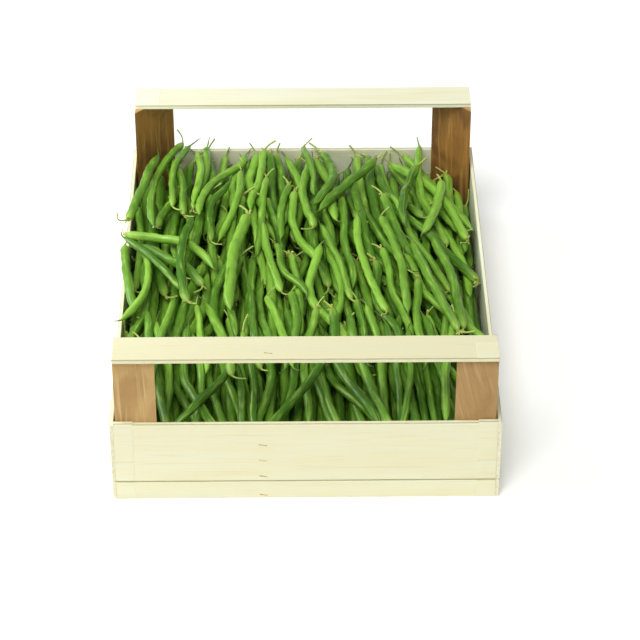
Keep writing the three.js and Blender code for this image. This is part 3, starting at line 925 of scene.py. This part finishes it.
# %% Stalks and tails
END_SEED = 77
STALK_LENGTH, TAIL_LENGTH = (8, 17), (5, 14)
END_POINTS = 4
STALK_LIFT, TAIL_LIFT = (0.08, 0.26), (0.04, 0.2)
STALK_CURL, TAIL_CURL = (0.12, 0.6), (0, 0.3)
END_CLEARANCE = 1.6
INSIDE_LIMITS = np.array((INNER_X - END_CLEARANCE, INNER_Y - END_CLEARANCE, np.inf))
OVER_WALL_LIMITS = np.array((WIDTH / 2 + OVERHANG + 2, INNER_Y + 3, np.inf))
end_rolls = dice(END_SEED)


def run_out(line, length, lift, curl, picked):
    """Points that run on from the last point of a line, bending up and to one side."""
    ahead = line[-1] - line[-3]
    ahead /= np.linalg.norm(ahead)
    side = np.cross(ahead, (0, 0, 1))
    turn = between(end_rolls, curl) * (1 if next(end_rolls) < 0.5 else -1)
    bend = turn * side + np.array((0, 0, between(end_rolls, lift)))
    over_wall = picked and line[-1][2] > WALL_TOP + END_CLEARANCE
    limits = OVER_WALL_LIMITS if over_wall else INSIDE_LIMITS
    points = [line[-1]]
    for _ in range(END_POINTS):
        ahead = ahead + bend
        ahead /= np.linalg.norm(ahead)
        point = points[-1] + ahead * length / END_POINTS
        inside = np.clip(point, -limits, limits)
        inside[2] += np.abs(point - inside).sum()
        points.append(inside)
    return points[1:]


def whole_bean(line, pod):
    """A pod's line with its stalk before it and its tail after it. The pod keeps the lengths of both."""
    body = line[1:-1]
    pod["stalk"], pod["tail"] = between(end_rolls, STALK_LENGTH), between(end_rolls, TAIL_LENGTH)
    stalk = run_out(body[::-1], pod["stalk"], STALK_LIFT, STALK_CURL, pod["picked"])
    tail = run_out(body, pod["tail"], TAIL_LIFT, TAIL_CURL, pod["picked"])
    return np.array(stalk[::-1] + list(body) + tail)


top_lines = [whole_bean(line, pod) for line, pod in zip(pod_lines, pods)]
print(len(top_lines), "beans with", len(top_lines[0]), "points each")

# %% [markdown]
# Fresh green beans have a satin skin over a firm pod. The skin is mid green with pale and dark streaks
# along the pod, no two pods have quite the same green, and a paler seam runs down each side. The shoulder
# is yellower, the stalk pale, the little cap between them brownish, and the tip of the tail dries dark.
# Its colour reads attributes that the tree in the next step writes on each bean. The limits of the layers
# that follow past_stalk and before_tail are millimetres along the pod.

# Pods near the front are a deeper green: painted shade for the shadow under the front plank.
# %% Bean skin
# The deep green is both the darkest tone of a pod and the painted shade of the pods near the front.
BEAN_DEEP_AND_PAINTED_SHADE = "3c6c10"
BEAN_FRESH = "88bc3e"
BEAN_PALE = "acd25c"
BEAN_DARK = "386a0e"
BEAN_SEAM = "b4d660"
BEAN_SHOULDER = "9cc24c"
BEAN_STALK = "a4bc58"
BEAN_CAP = "8c883e"
BEAN_TIP = "505a2c"
STREAK_LENGTH_MM, STREAK_SCALE = 26.0, 1.6
SPOT_MM = 3.5
BEAN_BUMP = (0.2, 0.6 * MM)
BEAN_ROUGH = (0.3, 0.44)
BEAN_IOR = 1.45

bean_skin = new_material("satin_green_bean_skin", {"IOR": BEAN_IOR})
tree = bean_skin.node_tree
read = {}
for name in ("tone", "past_stalk", "before_tail", "section", "number"):
    read[name] = add_node(tree, "ShaderNodeAttribute", attribute_name=name).outputs
past_stalk, before_tail = read["past_stalk"]["Fac"], read["before_tail"]["Fac"]
round_pod = add_node(tree, "ShaderNodeSeparateXYZ", {"Vector": read["section"]["Vector"]}).outputs
along = add_node(tree, MATH, {0: past_stalk, 1: STREAK_LENGTH_MM}, operation="DIVIDE")
shifted = add_node(tree, MATH, {0: along, 1: read["number"]["Fac"]}, operation="ADD")
streak_place = {"X": round_pod["X"], "Y": round_pod["Y"], "Z": shifted}
streak_place = add_node(tree, "ShaderNodeCombineXYZ", streak_place)
streaks = add_node(tree, "ShaderNodeTexNoise", {"Vector": streak_place, "Scale": STREAK_SCALE, "Detail": 3})
spots = soft_spots(tree, SPOT_MM)
to_seam = add_node(tree, MATH, {0: round_pod["X"]}, operation="ABSOLUTE")
layers = [
    (read["tone"]["Fac"], None, BEAN_FRESH, 1),
    (streaks, (0.5, 0.75), BEAN_PALE, 0.5),
    (streaks, (0.5, 0.25), BEAN_DARK, 0.55),
    (spots, (0.6, 0.8), BEAN_PALE, 0.25),
    (to_seam, (0.93, 1), BEAN_SEAM, 0.25),
    (past_stalk, (16, 0), BEAN_SHOULDER, 0.5),
    (past_stalk, (1.5, -1), BEAN_CAP, 0.7),
    (past_stalk, (-1, -2.5), BEAN_STALK, 1),
    (before_tail, (3, -6), BEAN_TIP, 0.8),
]
finish_surface(tree, layered(tree, linear(BEAN_DEEP_AND_PAINTED_SHADE), layers), spots, BEAN_BUMP, streaks, BEAN_ROUGH)
print(bean_skin.name, "has", len(tree.nodes), "nodes")

# %% [markdown]
# Each bean is now only a line of points. Geometry Nodes turn all of them into beans at once: each line
# becomes a smooth curve, and an oval is swept along it. The oval's size follows the distance from the
# stalk and from the tail, so a thin stalk opens into a shoulder and the far end tapers away, and a gentle
# swell shows each seed.

# %% A tree that grows beans
BEAN_INPUTS = {
    "Lines": "Geometry",
    "Sides": "Int",
    "Rings": "Int",
    "Kink": "Float",
    "Shoulder length": "Float",
    "Taper length": "Float",
    "Cap swell": "Float",
    "Seed spacing": "Float",
    "Seed swell": "Float",
    "Unevenness": "Float",
    "Material": "Material",
}
bean_tree, given = new_tree("grow_beans", BEAN_INPUTS, "Beans")
lines = add_node(bean_tree, "GeometryNodeMeshToCurve", {"Mesh": given["Lines"]})
smooth = add_node(bean_tree, "GeometryNodeCurveSplineType", {"Curve": lines}, spline_type="CATMULL_ROM")
curve = add_node(bean_tree, "GeometryNodeResampleCurve", {"Curve": smooth, "Count": given["Rings"]})
from_stalk = add_node(bean_tree, "GeometryNodeSplineParameter").outputs["Length"]
whole = add_node(bean_tree, "GeometryNodeSplineLength").outputs["Length"]
own = {}
for name in ("pod_radius", "number", "stalk", "tail"):
    own[name] = add_node(bean_tree, "GeometryNodeInputNamedAttribute", {"Name": name})
from_tail = add_node(bean_tree, MATH, {0: whole, 1: from_stalk}, operation="SUBTRACT")
past_stalk = add_node(bean_tree, MATH, {0: from_stalk, 1: own["stalk"]}, operation="SUBTRACT")
before_tail = add_node(bean_tree, MATH, {0: from_tail, 1: own["tail"]}, operation="SUBTRACT")
for name, value in [("past_stalk", past_stalk), ("before_tail", before_tail)]:
    in_mm = add_node(bean_tree, MATH, {0: value, 1: MM}, operation="DIVIDE")
    inputs = {"Geometry": curve, "Name": name, "Value": in_mm}
    curve = add_node(bean_tree, "GeometryNodeStoreNamedAttribute", inputs, data_type="FLOAT")
print(bean_tree.name, "measures each bean from its stalk and its tail")

# %% How thick a bean is along its length
SHOULDER_CURVE = [(0, 0.19), (0.1, 0.5), (0.36, 0.86), (1, 1)]
TAPER_CURVE = [(0, 0.2), (0.18, 0.48), (0.5, 0.84), (1, 1)]
TIP_SHARE = 0.4
CAP_REACH = 1.8 * MM


def eased_curve(distance, whole_way, points):
    """A value that follows a drawn curve from 0 to a whole distance, and keeps still outside it."""
    share = add_node(bean_tree, MATH, {0: distance, 1: whole_way}, operation="DIVIDE", use_clamp=True)
    node = add_node(bean_tree, "ShaderNodeFloatCurve", {"Value": share})
    drawn = node.mapping.curves[0].points
    drawn[0].location, drawn[-1].location = points[0], points[-1]
    for point in points[1:-1]:
        drawn.new(*point)
    node.mapping.update()
    return node


shoulder = eased_curve(past_stalk, given["Shoulder length"], SHOULDER_CURVE)
taper = eased_curve(before_tail, given["Taper length"], TAPER_CURVE)
tip = {"Value": from_tail, "From Max": own["tail"], "To Min": TIP_SHARE}
tip = add_node(bean_tree, "ShaderNodeMapRange", tip)
turns = add_node(bean_tree, MATH, {0: from_stalk, 1: given["Seed spacing"]}, operation="DIVIDE")
phase = add_node(bean_tree, MATH, {0: turns, 1: math.tau, 2: own["number"]}, operation="MULTIPLY_ADD")
seeds = add_node(bean_tree, MATH, {0: phase}, operation="SINE")
swell = add_node(bean_tree, MATH, {0: seeds, 1: given["Seed swell"], 2: 1}, operation="MULTIPLY_ADD")
radius = own["pod_radius"]
for share in (shoulder, taper, tip, swell):
    radius = add_node(bean_tree, MATH, {0: radius, 1: share}, operation="MULTIPLY")
to_cap = add_node(bean_tree, MATH, {0: past_stalk}, operation="ABSOLUTE")
cap = {"Value": to_cap, "From Max": CAP_REACH, "To Min": 1, "To Max": 0}
cap = add_node(bean_tree, "ShaderNodeMapRange", cap)
radius = add_node(bean_tree, MATH, {0: cap, 1: given["Cap swell"], 2: radius}, operation="MULTIPLY_ADD")
print(bean_tree.name, "sizes each oval from", len(SHOULDER_CURVE) + len(TAPER_CURVE), "drawn points")

# %% Sweep the oval, roughen it a little and paint it
OVAL = (1.0, 0.9, 1.0)
UNEVEN_LENGTH = 0.018
KINK_LENGTH = 0.03
MIDDLE = (0.5, 0.5, 0.5)
place = add_node(bean_tree, "GeometryNodeInputPosition")
noise = {"Vector": place, "Detail": 1}
kinks = add_node(bean_tree, "ShaderNodeTexNoise", {"Scale": 1 / KINK_LENGTH, **noise})
kink = add_node(bean_tree, VECTOR_MATH, {0: kinks.outputs["Color"], 1: MIDDLE}, operation="SUBTRACT")
kink = add_node(bean_tree, VECTOR_MATH, {0: kink, "Scale": given["Kink"]}, operation="SCALE")
kinked = add_node(bean_tree, "GeometryNodeSetPosition", {"Geometry": curve, "Offset": kink})
tilted = add_node(bean_tree, "GeometryNodeSetCurveTilt", {"Curve": kinked, "Tilt": own["number"]})
ring = add_node(bean_tree, "GeometryNodeCurvePrimitiveCircle", {"Resolution": given["Sides"], "Radius": 1})
section = {"Geometry": ring, "Name": "section", "Value": place}
marked = add_node(bean_tree, "GeometryNodeStoreNamedAttribute", section, data_type="FLOAT_VECTOR")
oval = add_node(bean_tree, "GeometryNodeTransform", {"Geometry": marked, "Scale": OVAL})
sweep = {"Curve": tilted, "Profile Curve": oval, "Scale": radius, "Fill Caps": True}
skin = add_node(bean_tree, "GeometryNodeCurveToMesh", sweep)
lumps = add_node(bean_tree, "ShaderNodeTexNoise", {"Scale": 1 / UNEVEN_LENGTH, **noise})
lump = add_node(bean_tree, MATH, {0: lumps, 1: 0.5}, operation="SUBTRACT")
lump = add_node(bean_tree, MATH, {0: lump, 1: given["Unevenness"]}, operation="MULTIPLY")
outward = add_node(bean_tree, "GeometryNodeInputNormal")
push = add_node(bean_tree, VECTOR_MATH, {0: outward, "Scale": lump}, operation="SCALE")
uneven = add_node(bean_tree, "GeometryNodeSetPosition", {"Geometry": skin, "Offset": push})
shaded = add_node(bean_tree, "GeometryNodeSetShadeSmooth", {"Geometry": uneven})
end_tree(bean_tree, shaded, given["Material"], "Beans")

# %% Grow the beans that show
SLIM = 0.88
# Towards the front wall a pod's tone falls to the deep green: painted shade under the front plank.
FRONT_PAINTED_SHADE = (-160, -110), (0, 1)
NUMBER_RANGE = 60
TONE_SEED = 5
BEAN_SIZES = {
    "Sides": 10,
    "Rings": 64,
    "Kink": 3.5 * MM,
    "Shoulder length": 9 * MM,
    "Taper length": 16 * MM,
    "Cap swell": 0.5 * MM,
    "Seed spacing": 13 * MM,
    "Seed swell": 0.05,
    "Unevenness": 0.9 * MM,
    "Material": bean_skin,
}
tone_rolls = dice(TONE_SEED)


def grow_beans(name, lines, pods, sizes, node=None):
    """One piece of beans along open lines, with each bean's sizes, tone and number on its points."""
    mesh = bpy.data.meshes.new(name)
    points = np.concatenate(lines) * MM
    count = len(lines[0])
    edges = [(i, i + 1) for i in range(len(points) - 1) if (i + 1) % count]
    mesh.from_pydata(points.tolist(), edges, [])
    columns = {"pod_radius": [pod["radius"] * SLIM * MM for pod in pods]}
    for end in ("stalk", "tail"):
        columns[end] = [pod[end] * MM for pod in pods]
    # The tone fades to nothing near the front: painted shade for the shadow of the front plank.
    columns["tone"] = [next(tone_rolls) * np.interp(line[:, 1].mean(), *FRONT_PAINTED_SHADE) for line in lines]
    columns["number"] = [next(tone_rolls) * NUMBER_RANGE for _ in lines]
    for column, values in columns.items():
        write_on(mesh, column, np.repeat(values, count))
    piece = grown(name, bean_tree, mesh, sizes)
    on_frame(piece, node)
    print(name, "has", len(lines), "beans and", len(piece.data.polygons), "faces")


grow_beans("green_beans", top_lines, pods, BEAN_SIZES, "bean_heap")

# %% [markdown]
# Smaller pods have slipped into the hollows between the others. They fall by the same rule on the heap as
# it is now: many halfway between the rows, and some along the back wall. Only the ones that come to rest
# low enough are kept, away from the right wall and from the pods that were picked out.

# %% Pods in the hollows
HOLLOW_COUNT, HOLLOW_SHIFT = 150, -40
BACK_COUNT, BACK_SHIFT = 60, 16
HOLLOW_LENGTH = (92, 126)
HOLLOW_RADIUS = (3.4, 4.2)
HOLLOW_RISE = 26
HOLLOW_TOP = 90
HOLLOW_RIGHT = 128
HOLLOW_SEED = 313
on_picked = heap > heap_under_picked
hollow_rolls = dice(HOLLOW_SEED)
hollow_lines, hollow_pods = [], []
numbers = [(BEAN_COUNT + i, HOLLOW_SHIFT) for i in range(HOLLOW_COUNT)]
numbers += [(i * len(ROW_CENTRES), BACK_SHIFT) for i in range(BACK_COUNT)]
for i, shift in numbers:
    pod = fallen_pod(hollow_rolls, i)
    pod["y"] += shift
    pod["length"] = between(hollow_rolls, HOLLOW_LENGTH)
    pod["radius"] = between(hollow_rolls, HOLLOW_RADIUS)
    line = settled(pod)
    x, y, z = line.T
    low_enough = z.max() < HOLLOW_TOP and (z - bed_height(x, y)).max() < HOLLOW_RISE
    if low_enough and x.max() < HOLLOW_RIGHT and not on_picked[cell_at(x, y)].any():
        cover_heap(line, pod)
        hollow_lines.append(whole_bean(line[::-1] if pod["flip"] else line, pod))
        hollow_pods.append(pod)
grow_beans("hollow_beans", hollow_lines, hollow_pods, BEAN_SIZES)

# %% [markdown]
# Where a stalk meets its pod, many beans keep a few dry scales of the flower, tan or straw-coloured and
# stiff. Each scale is a small flat chip that points away from the pod, so the blocks tree can set them
# all.

# %% Dry flower scales
HUSK_TAN = "948c34"
HUSK_STRAW = "b8c464"
HUSK_SPOT_MM = 2.5
HUSK_ROUGH = 0.8
SCALE_MM = (4.6, 1.2, 0.5)
HUSK_SHARE = 0.55
SCALE_COUNT = (2, 7)
SCALE_SPREAD = 1.4
HUSK_SEED = 58

fixed = {"Roughness": HUSK_ROUGH}
husk = spotted_material("dry_flower_scale", HUSK_TAN, HUSK_STRAW, HUSK_SPOT_MM, (0.35, 0.65), fixed)
husk_rolls = dice(HUSK_SEED)
places, turns = [], []
for line in top_lines + hollow_lines:
    joint, outer = Vector(line[END_POINTS]), Vector(line[END_POINTS - 1])
    count = int(between(husk_rolls, SCALE_COUNT)) if next(husk_rolls) < HUSK_SHARE else 0
    for _ in range(count):
        ahead = (outer - joint).normalized()
        ahead += Vector([swing(husk_rolls, SCALE_SPREAD) for _ in range(3)])
        ahead.normalize()
        places.append((joint + ahead * SCALE_MM[0] / 2) * MM)
        turns.append(ahead.to_track_quat("X", "Z").to_euler())
set_blocks("flower_scales", places, turns, SCALE_MM, husk)

# %% [markdown]
# The crate is full, so more beans lie under the ones that show, down to the slats. They are seen only
# through gaps in the heap and between the slats, so they are packed in plain layers with fewer faces. A
# layer is a set of columns from wall to wall, and three beans fill each column between the end walls or
# posts.

# %% Fill the crate underneath
FILL_LAYERS = 4
FILL_COLUMNS = 27
FILL_ROWS = (-1, 0, 1)
FILL_SPACING = 10.85
FILL_END_GAP = 6
FILL_SHARE = (0.9, 1)
FILL_RADIUS = 4.9
FILL_ASIDE, FILL_LEAN, FILL_BEND = 3, 0.05, 0.25
FILL_SEED = 901
FILL_SIZES = {**BEAN_SIZES, "Sides": 8, "Rings": 28}
lowest = SLAT_TOP + FILL_RADIUS
fill_rolls = dice(FILL_SEED)
fill_lines, fill_pods = [], []
for layer in range(FILL_LAYERS):
    share = layer / (FILL_LAYERS - 1)
    columns = FILL_COLUMNS - layer % 2
    for i in range(columns * len(FILL_ROWS)):
        x = (i // len(FILL_ROWS) - (columns - 1) / 2) * FILL_SPACING
        third = 2 * (min(INNER_Y, POST_LINE - abs(x)) - FILL_END_GAP) / len(FILL_ROWS)
        y = FILL_ROWS[i % len(FILL_ROWS)] * third + swing(fill_rolls, FILL_ASIDE)
        pod = {"x": x, "y": y, "radius": FILL_RADIUS, "sway": 0, "picked": False}
        pod["lean"] = swing(fill_rolls, FILL_LEAN)
        pod["bend"] = swing(fill_rolls, FILL_BEND)
        pod["length"] = third * between(fill_rolls, FILL_SHARE)
        pod["flip"] = next(fill_rolls) < 0.5
        line_x, line_y = plan_of(pod, 0, 0)
        line_z = lowest + (bed_height(line_x, line_y) - FILL_RADIUS - lowest) * share
        line = np.stack([line_x, line_y, line_z], axis=1)
        fill_lines.append(whole_bean(line[::-1] if pod["flip"] else line, pod))
        fill_pods.append(pod)
grow_beans("lower_beans", fill_lines, fill_pods, FILL_SIZES)
